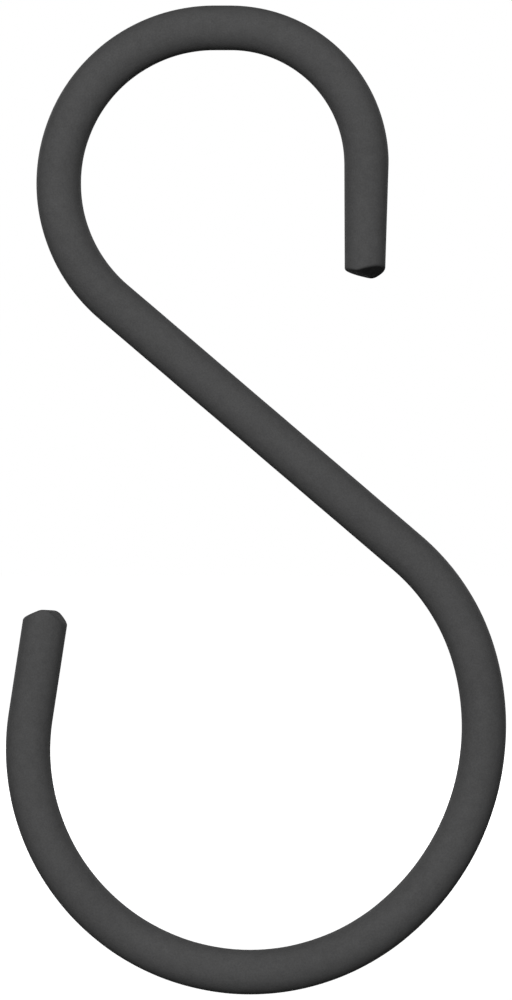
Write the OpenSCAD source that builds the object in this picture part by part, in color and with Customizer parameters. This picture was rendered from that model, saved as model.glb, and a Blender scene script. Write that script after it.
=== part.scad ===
// Tree extension hook: one length of round steel rod, bent into an S and coated all over.
// The upper bend goes over a branch and what is hung goes into the wider lower bend.
// The S lies in the XZ plane as it hangs: +Z is up and +X is the side of the upper mouth.
// The origin is the upper seat, the middle of the crown on the inside of the upper bend.

/* [Rod] */
// Diameter of the rod over its coat
rod_d = 6.7; // [5:0.1:8]

/* [Upper bend] */
// Straight stretch across the crown, with the seat in its middle
crown_run = 2.5; // [0.5:0.1:6]
// Inside radius from the crown round to the mouth leg
mouth_r = 17; // [13:0.5:22]
// Angle by which the mouth leg leans in from upright
upper_lean = 0.8; // [-4:0.1:8]
// Length of the mouth leg, from the bend to the crest of its cropped end
upper_run = 16.4; // [10:0.1:24]
// How much thinner the mouth leg is past its end than at the bend
upper_draw = 0.7; // [0.1:0.1:1.2]
// Inside radius from the crown round the back to the shank
back_r = 20; // [15:0.5:26]

/* [Shank] */
// Angle between the shank and the upright
shank_tilt = 49.5; // [40:0.5:58]
// Length of the straight shank between the two bends
shank_run = 58; // [45:0.5:75]

/* [Lower bend] */
// Inside radius where the shank turns into the lower bend
entry_r = 29; // [22:0.5:36]
// Angle turned at the entry radius
entry_sweep = 36; // [20:0.5:45]
// Inside radius of the widest part of the lower bend
belly_r = 34.5; // [28:0.5:42]
// Angle turned at the belly radius
belly_sweep = 63; // [50:1:90]
// Inside radius from the belly up to the toe leg
toe_r = 30; // [24:0.5:36]
// Angle by which the toe leg leans in from upright
lower_lean = 8.7; // [0:0.1:16]
// Length of the toe leg, from the bend to the crest of its cropped end
lower_run = 16.2; // [10:0.1:26]

/* [Cropped ends] */
// Radius of the rounded crest of a cropped end
crest_r = 2; // [1:0.1:3]
// Slope of the upper end on the side towards the shank
upper_in = 9; // [4:1:20]
// Slope of the upper end on the side away from the shank
upper_out = 21; // [10:1:35]
// Distance of the upper crest from the middle of the rod, away from the shank
upper_offset = -0.2; // [-0.8:0.1:0.8]
// Angle by which the upper crop is turned about the rod, its outer slope towards -Y
upper_turn = 25; // [0:1:40]
// Tilt of the upper crop, which leaves the rod shorter on the side of -Y
upper_tilt = 10; // [0:1:16]
// Slope of the lower end on the side towards the shank
lower_in = 36; // [25:1:45]
// Slope of the lower end on the side away from the shank
lower_out = 29; // [20:1:40]
// Distance of the lower crest from the middle of the rod, towards the shank
lower_offset = 0.4; // [-0.8:0.1:0.8]
// Angle by which the lower crop is turned about the rod, its inner slope towards -Y
lower_turn = 12; // [0:1:40]

/* [Hidden] */
// Smoothness of the round rod and of the bends
$fn = 96;
// Colour of the coat
coat_rgb = [0.16, 0.16, 0.165];
// Angle of the last of the lower bend: back past the shank's tilt, half a turn, and on to the toe leg's lean
toe_sweep = shank_tilt + 180 + lower_lean - entry_sweep - belly_sweep;
// How much thicker the rod is in a bend than in a straight run
bend_swell = 0.02;
// How far a straight run is let into the bend beside it, where the bend's swell covers it
run_lap = 0.2;
// Straight run between two bends of different radius
seam_run = 0.2;
// Number of flat strips that round a crest
crest_steps = 12;

// A straight run of rod along local +Z, let into the bends beside it. What follows goes on from its end.
module feed(length) {
    translate([0, 0, -run_lap])
        cylinder(d = rod_d, h = length + 2 * run_lap);
    translate([0, 0, length])
        children();
}

// A bend that starts along local +Z and turns towards local +X. What follows goes on from its end.
module bend(inside_r, sweep) {
    axis_r = inside_r + rod_d / 2;
    translate([axis_r, 0, 0])
        rotate([90, 0, 0])
            rotate([0, 0, 180 - sweep])
                rotate_extrude(angle = sweep)
                    translate([axis_r, 0])
                        circle(d = rod_d + bend_swell);
    translate([axis_r * (1 - cos(sweep)), 0, axis_r * sin(sweep)])
        rotate([0, sweep, 0])
            children();
}

// Half a turn of the rod about its own axis, so that what follows faces the other way.
module roll() {
    rotate([0, 0, 180])
        children();
}

// The lower bend, turned at three radii one after the other. What follows goes on from its end.
module lower_bend() {
    bend(entry_r, entry_sweep)
        feed(seam_run)
            bend(belly_r, belly_sweep)
                feed(seam_run)
                    bend(toe_r, toe_sweep)
                        children();
}

// A wedge above a rounded roof that falls off by one slope towards +X and by another towards -X.
module above_roof(offset, slope, other_slope) {
    slope_step = (slope + other_slope) / crest_steps;
    crest = [
        for (i = [0 : crest_steps])
            [offset + crest_r * sin(slope - i * slope_step), crest_r * cos(slope - i * slope_step) - crest_r]
    ];
    first = crest[0];
    last = crest[crest_steps];
    rotate([90, 0, 0])
        linear_extrude(height = 2 * rod_d, center = true)
            polygon(concat(
                [[-rod_d, rod_d], [rod_d, rod_d]],
                [[rod_d, first[1] - (rod_d - first[0]) * tan(slope)]],
                crest,
                [[-rod_d, last[1] - (rod_d + last[0]) * tan(other_slope)]]
            ));
}

// The last straight run, drawn down to end_d half a rod past its length. The children are cut from its end.
module cropped_leg(length, end_d) {
    difference() {
        translate([0, 0, -run_lap])
            cylinder(d1 = rod_d, d2 = end_d, h = run_lap + length + rod_d / 2);
        translate([0, 0, length])
            children();
    }
}

// The mouth leg, whose local +X is away from the shank and whose local +Y is the side of -Y.
module upper_leg() {
    cropped_leg(upper_run, rod_d - upper_draw)
        rotate([0, 0, upper_turn])
            rotate([-upper_tilt, 0, 0])
                above_roof(upper_offset, upper_out, upper_in);
}

// The toe leg, whose local +X is towards the shank and whose local -Y is the side of -Y.
module lower_leg() {
    cropped_leg(lower_run, rod_d)
        rotate([0, 0, -lower_turn])
            above_roof(lower_offset, lower_in, lower_out);
}

// The whole hook: the crown and the mouth leg one way, and the back, the shank and the lower bend the other.
module s_hook() {
    color(coat_rgb)
        translate([0, 0, rod_d / 2]) {
            rotate([0, 90, 0])
                translate([0, 0, -crown_run / 2])
                    feed(crown_run)
                        bend(mouth_r, 90 + upper_lean)
                            roll()
                                upper_leg();
            rotate([0, -90, 0])
                translate([0, 0, crown_run / 2])
                    roll()
                        bend(back_r, 90 + shank_tilt)
                            feed(shank_run)
                                roll()
                                    lower_bend()
                                        lower_leg();
        }
}

s_hook();
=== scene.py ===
"""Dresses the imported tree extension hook: a coated rod swept along its bends, in a pale studio."""

import math
from typing import NamedTuple

import bpy
import numpy as np
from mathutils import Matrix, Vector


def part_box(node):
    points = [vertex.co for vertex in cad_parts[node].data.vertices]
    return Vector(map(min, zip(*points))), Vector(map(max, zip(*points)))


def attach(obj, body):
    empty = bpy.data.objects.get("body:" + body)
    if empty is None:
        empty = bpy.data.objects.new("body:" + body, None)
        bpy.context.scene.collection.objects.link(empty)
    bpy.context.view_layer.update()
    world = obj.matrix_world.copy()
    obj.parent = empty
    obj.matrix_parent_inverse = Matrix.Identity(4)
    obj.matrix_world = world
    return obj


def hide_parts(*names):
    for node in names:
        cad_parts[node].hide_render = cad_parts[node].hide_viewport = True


bl_info = {
    "name": "Tree extension hook",
    "version": (1, 0, 0),
    "blender": (4, 5, 0),
    "location": "View3D > Sidebar > Hook",
    "description": "Builds an S hook of coated round rod, with its cropped ends, and a pale studio",
    "category": "Object",
}

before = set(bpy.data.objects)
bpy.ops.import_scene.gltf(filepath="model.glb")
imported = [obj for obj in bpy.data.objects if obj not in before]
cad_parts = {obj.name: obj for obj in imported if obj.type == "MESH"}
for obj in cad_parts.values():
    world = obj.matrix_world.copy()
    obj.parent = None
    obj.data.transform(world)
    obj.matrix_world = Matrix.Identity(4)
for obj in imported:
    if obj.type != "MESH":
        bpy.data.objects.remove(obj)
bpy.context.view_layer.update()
NODE = "s_hook"
NODE_LOW, NODE_HIGH = (np.array(corner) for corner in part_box(NODE))
MIDDLE = (NODE_LOW + NODE_HIGH) / 2
MM = 0.001
BOX_SLACK = 0.3 * MM
SENSOR_WIDTH = 36.0
CLIP_START, CLIP_END = 0.01, 50.0


def length(name, description, millimetres):
    """A size in metres, given here in millimetres."""
    metres = millimetres * MM
    return bpy.props.FloatProperty(
        name=name, description=description, default=metres, precision=5, unit="LENGTH", subtype="DISTANCE"
    )


def angle(name, description, degrees):
    """An angle in radians, given here in degrees."""
    radians = math.radians(degrees)
    return bpy.props.FloatProperty(
        name=name, description=description, default=radians, unit="ROTATION", subtype="ANGLE"
    )


def share(name, description, default):
    """A plain number between nothing and one."""
    return bpy.props.FloatProperty(
        name=name, description=description, default=default, min=0, max=1, subtype="FACTOR"
    )


def number(name, description, default):
    """A plain number of nothing or more."""
    return bpy.props.FloatProperty(name=name, description=description, default=default, min=0)


def count(name, description, default):
    """A whole number of steps."""
    return bpy.props.IntProperty(name=name, description=description, default=default, min=3)


def position(name, description, default):
    """A place in metres."""
    return bpy.props.FloatVectorProperty(
        name=name, description=description, default=default, size=3, unit="LENGTH", subtype="TRANSLATION"
    )


def colour(name, description, default):
    """A colour in linear light."""
    return bpy.props.FloatVectorProperty(
        name=name, description=description, default=default, size=3, min=0, max=1, subtype="COLOR"
    )


class HookRodSizes(bpy.types.PropertyGroup):
    """Sizes of the bent rod, the same ones that the solid was bent to."""

    rod_diameter: length("Rod diameter", "Thickness of the rod over its coat", 6.7)
    crown_run: length("Crown run", "Straight stretch over the upper seat", 2.5)
    mouth_radius: length("Mouth radius", "Inside radius from the crown to the mouth leg", 17)
    back_radius: length("Back radius", "Inside radius from the crown round the back to the shank", 20)
    upper_lean: angle("Upper lean", "How far the mouth leg leans in from upright", 0.8)
    upper_run: length("Upper run", "Straight mouth leg, out to the crest of its cropped end", 16.4)
    upper_draw: length("Upper draw", "How much thinner the mouth leg is past its end", 0.7)
    shank_tilt: angle("Shank tilt", "Angle between the shank and the upright", 49.5)
    shank_run: length("Shank run", "Straight shank between the two bends", 58)
    entry_radius: length("Entry radius", "Inside radius where the shank turns into the lower bend", 29)
    entry_sweep: angle("Entry sweep", "Angle turned at the entry radius", 36)
    belly_radius: length("Belly radius", "Inside radius of the widest part of the lower bend", 34.5)
    belly_sweep: angle("Belly sweep", "Angle turned at the belly radius", 63)
    toe_radius: length("Toe radius", "Inside radius from the belly up to the toe leg", 30)
    seam_run: length("Seam run", "Straight run between two bends of different radius", 0.2)
    lower_lean: angle("Lower lean", "How far the toe leg leans in from upright", 8.7)
    lower_run: length("Lower run", "Straight toe leg, out to the crest of its cropped end", 16.2)
    crest_radius: length("Crest radius", "Radius of the rounded crest of a cropped end", 2)
    upper_in: angle("Upper inner slope", "Slope of the upper end on the side towards the shank", 9)
    upper_out: angle("Upper outer slope", "Slope of the upper end on the side away from the shank", 21)
    upper_offset: length("Upper offset", "Upper crest's distance from the middle, away from the shank", -0.2)
    upper_turn: angle("Upper turn", "How far the upper crop is turned about the rod towards the front", 25)
    upper_tilt: angle("Upper tilt", "Tilt of the upper crop, which leaves the front of the rod shorter", 10)
    lower_in: angle("Lower inner slope", "Slope of the lower end on the side towards the shank", 36)
    lower_out: angle("Lower outer slope", "Slope of the lower end on the side away from the shank", 29)
    lower_offset: length("Lower offset", "Lower crest's distance from the middle, towards the shank", 0.4)
    lower_turn: angle("Lower turn", "How far the lower crop is turned about the rod towards the front", 12)
    edge_round: length("Edge round", "How far the coat rounds the rim of a cropped end", 0.4)
    coat_swell: length("Coat swell", "Height of the slow unevenness of the coat", 0.012)
    swell_fade: share("Swell fade", "Share of the rod over which the unevenness fades out at an end", 1 / 6)
    rows: count("Rows", "Steps along the rod", 900)
    sides: count("Sides", "Steps round the rod", 72)


class HookCoatLook(bpy.types.PropertyGroup):
    """Colour, sheen and grain of the powder coat."""

    deep: colour("Deep colour", "Colour of the coat in its hollows", (0.0605, 0.0605, 0.061))
    high: colour("High colour", "Colour of the coat on its high grains", (0.0915, 0.0915, 0.0921))
    roughness: share("Roughness", "Mean roughness of the coat", 0.82)
    sheen_level: share("Reflection level", "Strength of the coat's reflection", 0.025)
    peel_size: length("Peel size", "Spacing of the flow ripples left by baking", 1.4)
    grain_size: length("Grain size", "Spacing of the fine grains of powder", 0.28)
    cloud_size: length("Cloud size", "Spacing of the slow changes in colour and gloss", 16)
    cloud_tone: number("Cloud tone", "How much the clouds change the colour", 0.5)
    peel_tone: number("Peel tone", "How much the ripples change the colour", 0.5)
    grain_tone: number("Grain tone", "How much the grains change the colour", 1.2)
    # Painted shade: how much the cropped ends' colour is darkened to stand in for the shade on them
    end_painted_shade: number("End tone", "How much darker the cropped ends are", 0.35)
    cloud_dulling: number("Cloud dulling", "How much the clouds change the roughness", 0.16)
    grain_dulling: number("Grain dulling", "How much the grains change the roughness", 0.24)
    end_dulling: number("End dulling", "How much rougher the cropped ends are", 0.1)
    relief: length("Relief", "Height of the ripples and grains", 0.07)
    peel_share: share("Peel share", "Share of the relief that is ripples, where the rest is grains", 0.6)


class HookStageLook(bpy.types.PropertyGroup):
    """Camera, light and floor."""

    lens: number("Lens", "Focal length of the camera in millimetres", 200.0)
    margin: number("Margin", "Picture height against the hook's height", 1.0112)
    key: number("Key light", "Light of the lamp in front, where 1 shows a colour as it is written", 0.95)
    key_place: position("Key place", "Place of the lamp in front, from the middle", (-0.16, -1.24, 0.45))
    key_width: length("Key width", "Side of the square lamp in front", 200)
    rear: number("Rear light", "Light of each of the two lamps behind, on the same measure", 0.42)
    rear_place: position("Rear place", "Place of the right lamp behind, from the middle", (0.65, 1.05, 0.3))
    rear_width: length("Rear width", "Side of each square lamp behind", 400)
    fill: number("Surrounding light", "Light from all round, on the same measure", 0.02)
    drop: length("Floor drop", "Distance of the floor below the hook", 20)
    floor: colour("Floor colour", "Colour of the floor", (0.8, 0.8, 0.8))
    reach: length("Floor reach", "Distance from the middle of the floor to its sides", 6000)
    bounce: share("Floor bounce", "Share of the floor's colour that lights the hook from below", 0.12)
    shade: share("Floor shade", "How much of the floor's white near the hook is left to the lamps", 0.42)
    shade_near: length("Shade start", "Distance at which the floor starts to turn white by itself", 300)
    shade_far: length("Shade end", "Distance from which the floor is white by itself", 1300)


class Field:
    """One output of a shader node, as a value that Python's operators combine."""

    def __init__(self, tree, socket=None):
        self.tree = tree
        self.socket = socket

    def node(self, kind, settings=None, inputs=None, out=0):
        """Adds a node of a type, sets its settings and then its sockets, and returns one of its outputs."""
        made = self.tree.nodes.new(kind)
        for key, value in (settings or {}).items():
            setattr(made, key, value)
        for key, value in (inputs or {}).items():
            if isinstance(value, Field):
                self.tree.links.new(value.socket, made.inputs[key])
            else:
                made.inputs[key].default_value = value
        return Field(self.tree, made.outputs[out] if len(made.outputs) else None)

    def math(self, operation, first, second):
        """A Math node on two values."""
        return self.node("ShaderNodeMath", {"operation": operation}, {0: first, 1: second})

    def __add__(self, other):
        return self.math("ADD", self, other)

    __radd__ = __add__

    def __sub__(self, other):
        return self.math("SUBTRACT", self, other)

    def __rsub__(self, other):
        return self.math("SUBTRACT", other, self)

    def __mul__(self, other):
        return self.math("MULTIPLY", self, other)

    __rmul__ = __mul__

    def at_most(self, other):
        """The smaller of two values."""
        return self.math("MINIMUM", self, other)

    def at_least(self, other):
        """The larger of two values."""
        return self.math("MAXIMUM", self, other)

    def mix(self, low, high):
        """A colour between two others, by this value from nothing to one."""
        return self.node("ShaderNodeMix", {"data_type": "RGBA"}, {0: self, 6: low, 7: high}, 2)

    def noise(self, spacing, detail, rough=0.5):
        """Noise round one half on these coordinates, whose features are about one spacing apart."""
        inputs = {"Vector": self, "Scale": 1 / spacing, "Detail": detail, "Roughness": rough}
        return self.node("ShaderNodeTexNoise", {"noise_dimensions": "3D"}, inputs, "Fac")


def opaque(rgb):
    """A colour with its alpha."""
    return (*rgb, 1.0)


def new_tree(name):
    """A named material and its empty node tree, as a field."""
    material = bpy.data.materials.new(name)
    material.use_nodes = True
    material.node_tree.nodes.clear()
    return material, Field(material.node_tree)


def powder_coat(look):
    """Satin powder coat: slow clouds, baked ripples and fine grains share colour, roughness and relief."""
    material, field = new_tree("satin_powder_coat")
    place = field.node("ShaderNodeTexCoord", out="Object")
    cropped = field.node("ShaderNodeAttribute", {"attribute_name": "cropped"}, out="Fac")
    cloud = place.noise(look.cloud_size, 2.0)
    peel = place.noise(look.peel_size, 1.0)
    grain = place.noise(look.grain_size, 2.0, 0.6)
    tone = 0.5 + look.cloud_tone * (cloud - 0.5) + look.peel_tone * (peel - 0.5)
    # The cropped ends get painted shade: their colour is darkened in place of the shade that falls on them
    tone = tone + look.grain_tone * (grain - 0.5) - look.end_painted_shade * cropped
    roughness = look.roughness + look.cloud_dulling * (cloud - 0.5) + look.grain_dulling * (grain - 0.5)
    roughness = roughness + look.end_dulling * cropped
    height = look.peel_share * peel + (1 - look.peel_share) * grain
    relief = {"Strength": 1.0, "Distance": look.relief, "Height": height}
    bump = field.node("ShaderNodeBump", None, relief, "Normal")
    shader = field.node(
        "ShaderNodeBsdfPrincipled",
        None,
        {
            "Base Color": tone.at_least(0.0).at_most(1.0).mix(opaque(look.deep), opaque(look.high)),
            "Roughness": roughness.at_least(0.05).at_most(1.0),
            "Specular IOR Level": look.sheen_level,
            "Metallic": 0.0,
            "Normal": bump,
        },
        "BSDF",
    )
    field.node("ShaderNodeOutputMaterial", None, {"Surface": shader})
    return material


def rod_course(sizes):
    """Lengths and turns of the rod from the upper crest to the lower, and the run to the crown's middle.

    Each row is a stretch: its straight length, or the inside radius of its bend and the angle it turns to
    the left. A bend is as long as the radius of the rod's middle times the angle.
    """
    half = sizes.rod_diameter / 2
    toe_sweep = sizes.shank_tilt + math.pi + sizes.lower_lean - sizes.entry_sweep - sizes.belly_sweep
    turns = np.array(
        [
            (sizes.upper_run, 0, 0),
            (0, sizes.mouth_radius, math.pi / 2 + sizes.upper_lean),
            (sizes.crown_run, 0, 0),
            (0, sizes.back_radius, math.pi / 2 + sizes.shank_tilt),
            (sizes.shank_run, 0, 0),
            (0, sizes.entry_radius, -sizes.entry_sweep),
            (sizes.seam_run, 0, 0),
            (0, sizes.belly_radius, -sizes.belly_sweep),
            (sizes.seam_run, 0, 0),
            (0, sizes.toe_radius, -toe_sweep),
            (sizes.lower_run, 0, 0),
        ]
    )
    straight, inside, turn = turns.T
    lengths = straight + (inside + half) * np.abs(turn)
    return lengths, turn, lengths[:2].sum() + sizes.crown_run / 2


def rod_axis(sizes, samples=12000):
    """Middle line of the rod in the XZ plane: runs, places and headings, as arrays.

    The heading is a broken line over the run: flat along a straight, and a steady slope along a bend.
    The place is the running sum of the heading's direction, moved so that the crown lies over the origin
    by half the rod. The line goes straight on past both crests by the rod's diameter.
    """
    lengths, turn, crown = rod_course(sizes)
    marks = np.concatenate([[0], np.cumsum(lengths)])
    headings = math.pi / 2 - sizes.upper_lean + np.concatenate([[0], np.cumsum(turn)])
    run = np.linspace(-sizes.rod_diameter, marks[-1] + sizes.rod_diameter, samples)
    middle = (run[1:] + run[:-1]) / 2
    heading = np.interp(middle, marks, headings)
    steps = np.diff(run)[:, None] * np.stack([np.cos(heading), np.sin(heading)], axis=1)
    place = np.concatenate([np.zeros((1, 2)), np.cumsum(steps, axis=0)])
    at_crown = [np.interp(crown, run, place[:, i]) for i in range(2)]
    place += np.array([0, sizes.rod_diameter / 2]) - at_crown
    return run, place, np.interp(run, marks, headings)


class Crop(NamedTuple):
    """A cropped end: its crest, the slopes to both sides of it, and how it is turned and tilted."""

    crest_radius: float
    offset: float
    right_slope: float
    left_slope: float
    turned: float
    tilt: float


def crop_depth(crop, right, front):
    """How far a cropped end lies behind its crest, by distances to the right and front of the rod's middle.

    The place is turned about the rod into a distance across the crest and one along it. Across it the
    crest is a circle, and past the point at which the circle is as steep as the slope on that side, the
    slope goes on straight. Along it the depth grows with the tilt.
    """
    across = right * math.cos(crop.turned) + front * math.sin(crop.turned) - crop.offset
    along = front * math.cos(crop.turned) - right * math.sin(crop.turned)
    slope = np.where(across > 0, crop.right_slope, crop.left_slope)
    reach = np.minimum(np.abs(across), crop.crest_radius * np.sin(slope))
    round_part = crop.crest_radius - np.sqrt(crop.crest_radius**2 - reach**2)
    return round_part + (np.abs(across) - reach) * np.tan(slope) + along * math.tan(crop.tilt)


def end_profile(crop, radius, edge_round, turn, cap_rows=20, edge_rows=10):
    """A cropped end as depth behind the crest and distance from the middle, from the pole to the wall.

    Straight rows cover the crop. The rim is a quadratic curve: it leaves the crop one round inside the
    corner, and joins the wall one round behind it, with the sharp corner as its control.
    """
    right, front = -np.cos(turn)[None, :], -np.sin(turn)[None, :]
    inner = radius - edge_round
    flat = np.linspace(0, inner, cap_rows, endpoint=False)[:, None] * np.ones_like(right)
    t = np.linspace(0, 1, edge_rows)[:, None]
    leave = crop_depth(crop, inner * right, inner * front)
    corner = crop_depth(crop, radius * right, radius * front)
    edge_depth = (1 - t) ** 2 * leave + 2 * t * (1 - t) * corner + t**2 * (corner + edge_round)
    edge_out = (1 - t) ** 2 * inner + 2 * t * (1 - t) * radius + t**2 * radius
    depth = np.concatenate([crop_depth(crop, flat * right, flat * front), edge_depth])
    out = np.concatenate([flat, edge_out * np.ones_like(right)])
    return depth, out


def coat_unevenness(run, turn):
    """Slow unevenness of the coat: the mean of sine waves that run along the rod and wind round it.

    Each wave has its pitch in metres, its number of crests round the rod, whose sign gives the way it
    winds, and its start in radians.
    """
    waves = ((0.0190, 1, 0.3), (0.0127, -2, 1.7), (0.0083, 3, 4.1), (0.0311, 2, 2.6))
    sines = [np.sin(2 * math.pi * run / pitch + crests * turn + start) for pitch, crests, start in waves]
    return sum(sines) / len(waves)


def coated_rod_surface(sizes):
    """Points of the coated rod, and how far each is on a cropped end, over a grid of rows and sides.

    Every row holds a run along the rod and a distance from its middle for each side. The point lies at
    that run of the middle line, moved out by the distance across the rod: the left normal times the cosine
    of the side's angle, and +Y times its sine. The rows go out over the upper crop, along the wall and in
    over the lower crop.
    """
    run, place, heading = rod_axis(sizes)
    total = rod_course(sizes)[0].sum()
    turn = np.linspace(0, 2 * math.pi, sizes.sides, endpoint=False)
    radius = sizes.rod_diameter / 2
    tip = radius - sizes.upper_draw / 2 * sizes.upper_run / (sizes.upper_run + radius)
    upper_slopes = (sizes.upper_out, sizes.upper_in)
    lower_slopes = (sizes.lower_in, sizes.lower_out)
    upper = Crop(sizes.crest_radius, sizes.upper_offset, *upper_slopes, sizes.upper_turn, sizes.upper_tilt)
    lower = Crop(sizes.crest_radius, sizes.lower_offset, *lower_slopes, sizes.lower_turn, 0)
    first_depth, first_out = end_profile(upper, tip, sizes.edge_round, turn)
    last_depth, last_out = end_profile(lower, radius, sizes.edge_round, turn)
    t = np.linspace(0, 1, sizes.rows)[1:-1, None]
    wall = first_depth[-1] * (1 - t) + (total - last_depth[-1]) * t
    drawn = tip + (radius - tip) * np.clip((wall - first_depth[-1]) / sizes.upper_run, 0, 1)
    fade = np.minimum(1, np.minimum(t, 1 - t) / sizes.swell_fade)
    swell = sizes.coat_swell * coat_unevenness(wall, turn[None, :]) * fade
    runs = np.concatenate([first_depth, wall, (total - last_depth)[::-1]])
    out = np.concatenate([first_out, drawn + swell, last_out[::-1]])
    x, z, bearing = (np.interp(runs, run, values) for values in (place[:, 0], place[:, 1], heading))
    left, deep = out * np.cos(turn), out * np.sin(turn)
    points = np.stack([x - np.sin(bearing) * left, deep, z + np.cos(bearing) * left], axis=-1)
    from_end = np.minimum(runs - first_depth[-1], total - last_depth[-1] - runs)
    cropped = np.clip(1 - (from_end + sizes.edge_round) / sizes.edge_round, 0, 1)
    return points, cropped


def tube_faces(rows, sides):
    """Quads of a grid that closes round its sides, turned so that they face away from its middle."""
    row, side = np.meshgrid(np.arange(rows - 1), np.arange(sides), indexing="ij")
    after = (side + 1) % sides
    here, up = row * sides, (row + 1) * sides
    return np.stack([here + side, up + side, up + after, here + after], axis=-1).reshape(-1, 4)


def closed_tube(name, points, values, attribute):
    """A mesh object over a grid whose first and last rows are poles, with one value per vertex.

    Each pole row is gathered into one vertex, and its quads become triangles.
    """
    rows, sides = points.shape[:2]
    body = points[1:-1].reshape(-1, 3)
    verts = np.concatenate([body, points[0, :1], points[-1, :1]])
    low_pole, high_pole = len(body), len(body) + 1
    side = np.arange(sides)
    after = (side + 1) % sides
    base = (rows - 3) * sides
    low_fan = np.stack([np.full(sides, low_pole), side, after], axis=1)
    high_fan = np.stack([np.full(sides, high_pole), base + after, base + side], axis=1)
    quads = tube_faces(rows - 2, sides)
    mesh = bpy.data.meshes.new(name)
    mesh.from_pydata(verts, [], [*quads.tolist(), *low_fan.tolist(), *high_fan.tolist()])
    mesh.polygons.foreach_set("use_smooth", np.ones(len(mesh.polygons), dtype=bool))
    layer = mesh.attributes.new(attribute, "FLOAT", "POINT")
    flat = np.concatenate([values[1:-1].ravel(), values[0, :1], values[-1, :1]])
    layer.data.foreach_set("value", flat.astype(np.float32))
    mesh.validate()
    mesh.update()
    made = bpy.data.objects.new(name, mesh)
    bpy.context.collection.objects.link(made)
    return made


class HOOK_OT_coated_rod(bpy.types.Operator):
    """Sweeps the coated rod along the hook's bends, crops its ends and coats it"""

    bl_idname = "hook.coated_rod"
    bl_label = "Coated rod"

    def execute(self, context):
        sizes = context.scene.hook_rod
        points, cropped = coated_rod_surface(sizes)
        spread = np.abs([points.min((0, 1)) - NODE_LOW, points.max((0, 1)) - NODE_HIGH]).max()
        if spread > BOX_SLACK:
            raise RuntimeError(f"the coated rod leaves the solid's box by {spread / MM:.2f} mm")
        rod = closed_tube("coated_rod", points, cropped, "cropped")
        rod.data.materials.append(powder_coat(context.scene.hook_coat))
        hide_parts(NODE)
        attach(rod, "root")
        return {"FINISHED"}


def camera_sees(field):
    """One where the camera sees a surface, straight, in a reflection or through glass, and else nothing."""
    kinds = ("Is Camera Ray", "Is Glossy Ray", "Is Transmission Ray")
    straight, reflected, through = (field.node("ShaderNodeLightPath", out=kind) for kind in kinds)
    return (straight + reflected + through).at_most(1.0)


def pale_floor(look):
    """Floor material: a matt pale colour, and for the camera the rest of the way to white.

    Near the hook a share of that white is left to the lamps, so that its shadow stays. Light that the floor
    sends back to the hook is held down to a share of it.
    """
    material, field = new_tree("pale_floor")
    seen = camera_sees(field)
    dim = opaque(np.array(look.floor) * look.bounce)
    matt = field.node("ShaderNodeBsdfDiffuse", None, {"Color": seen.mix(dim, opaque(look.floor))})
    place = field.node("ShaderNodeTexCoord", out="Object")
    away = field.node("ShaderNodeVectorMath", {"operation": "LENGTH"}, {0: place}, "Value")
    open_floor = field.node(
        "ShaderNodeMapRange",
        {"interpolation_type": "SMOOTHSTEP"},
        {"Value": away, "From Min": look.shade_near, "From Max": look.shade_far},
    )
    lift = field.node(
        "ShaderNodeEmission",
        None,
        {"Color": (1, 1, 1, 1), "Strength": (1 - look.shade * (1 - open_floor)) * seen},
    )
    both = field.node("ShaderNodeAddShader", None, {0: matt, 1: lift})
    field.node("ShaderNodeOutputMaterial", None, {"Surface": both})
    return material


def white_surround(scene, look):
    """World: white for the camera, and a low even light for everything else."""
    world = bpy.data.worlds.new("white_surround")
    world.use_nodes = True
    world.node_tree.nodes.clear()
    field = Field(world.node_tree)
    strength = look.fill + (1 - look.fill) * camera_sees(field)
    sky = field.node("ShaderNodeBackground", None, {"Color": (1, 1, 1, 1), "Strength": strength})
    field.node("ShaderNodeOutputWorld", None, {"Surface": sky})
    scene.world = world


def aimed(made, place, target):
    """Puts a lamp or camera at a place and turns it to a target."""
    made.location = place
    made.rotation_euler = (Vector(target) - Vector(place)).to_track_quat("-Z", "Y").to_euler()
    bpy.context.collection.objects.link(made)
    return made


def soft_lamp(name, offset, width, light):
    """A square lamp at an offset from the hook's middle, aimed at it.

    Its power gives that light at the middle: the light times pi squared times the distance squared.
    """
    lamp = bpy.data.lights.new(name, "AREA")
    lamp.shape = "SQUARE"
    lamp.size = width
    lamp.energy = light * math.pi**2 * float(np.sum(np.array(offset) ** 2))
    return aimed(bpy.data.objects.new(name, lamp), MIDDLE + np.array(offset), MIDDLE)


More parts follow.
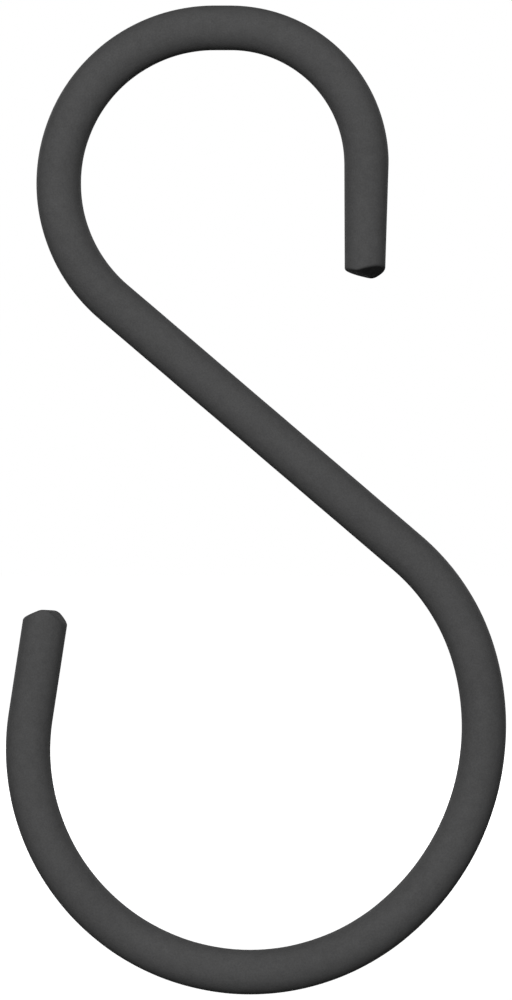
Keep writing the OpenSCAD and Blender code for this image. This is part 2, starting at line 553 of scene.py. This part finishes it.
class HOOK_OT_studio(bpy.types.Operator):
    """Sets up the pale floor, the soft light and the camera"""

    bl_idname = "hook.studio"
    bl_label = "Studio"

    def execute(self, context):
        scene, look = context.scene, context.scene.hook_stage
        scene.view_settings.view_transform = "Standard"
        white_surround(scene, look)

        low = NODE_LOW[2] - look.drop
        signs = ((-1, -1), (1, -1), (1, 1), (-1, 1))
        corners = [(x * look.reach, y * look.reach, low) for x, y in signs]
        mesh = bpy.data.meshes.new("studio_floor")
        mesh.from_pydata(corners, [], [(0, 1, 2, 3)])
        mesh.materials.append(pale_floor(look))
        floor = bpy.data.objects.new("studio_floor", mesh)
        context.collection.objects.link(floor)

        soft_lamp("key_lamp", look.key_place, look.key_width, look.key)
        for name, side in (("left_rear_lamp", -1), ("right_rear_lamp", 1)):
            offset = np.array(look.rear_place) * (side, 1, 1)
            soft_lamp(name, offset, look.rear_width, look.rear).visible_camera = False

        # In a tall picture the sensor's width spans the height.
        lens = bpy.data.cameras.new("front_camera")
        lens.lens = look.lens
        lens.sensor_width = SENSOR_WIDTH
        lens.clip_start, lens.clip_end = CLIP_START, CLIP_END
        tall = (NODE_HIGH[2] - NODE_LOW[2]) * look.margin
        stand = MIDDLE - (0, tall * look.lens / SENSOR_WIDTH, 0)
        scene.camera = aimed(bpy.data.objects.new("front_camera", lens), stand, MIDDLE)
        return {"FINISHED"}


class HOOK_PT_sidebar(bpy.types.Panel):
    """The hook's operators and the sizes and colours they read"""

    bl_label = "Tree extension hook"
    bl_idname = "HOOK_PT_sidebar"
    bl_space_type = "VIEW_3D"
    bl_region_type = "UI"
    bl_category = "Hook"

    def draw(self, context):
        boxes = ((HOOK_OT_coated_rod, ("hook_rod", "hook_coat")), (HOOK_OT_studio, ("hook_stage",)))
        for operator, groups in boxes:
            box = self.layout.box()
            box.operator(operator.bl_idname)
            for group in groups:
                values = getattr(context.scene, group)
                for key in values.bl_rna.properties.keys():
                    if key not in {"rna_type", "name"}:
                        box.prop(values, key)


GROUPS = {"hook_rod": HookRodSizes, "hook_coat": HookCoatLook, "hook_stage": HookStageLook}
CLASSES = (*GROUPS.values(), HOOK_OT_coated_rod, HOOK_OT_studio, HOOK_PT_sidebar)


def register():
    for cls in CLASSES:
        bpy.utils.register_class(cls)
    for name, group in GROUPS.items():
        setattr(bpy.types.Scene, name, bpy.props.PointerProperty(type=group))


def unregister():
    for name in GROUPS:
        delattr(bpy.types.Scene, name)
    for cls in reversed(CLASSES):
        bpy.utils.unregister_class(cls)


def main():
    """Builds the hook and its studio."""
    register()
    bpy.ops.hook.coated_rod()
    bpy.ops.hook.studio()


if __name__ == "__main__":
    main()
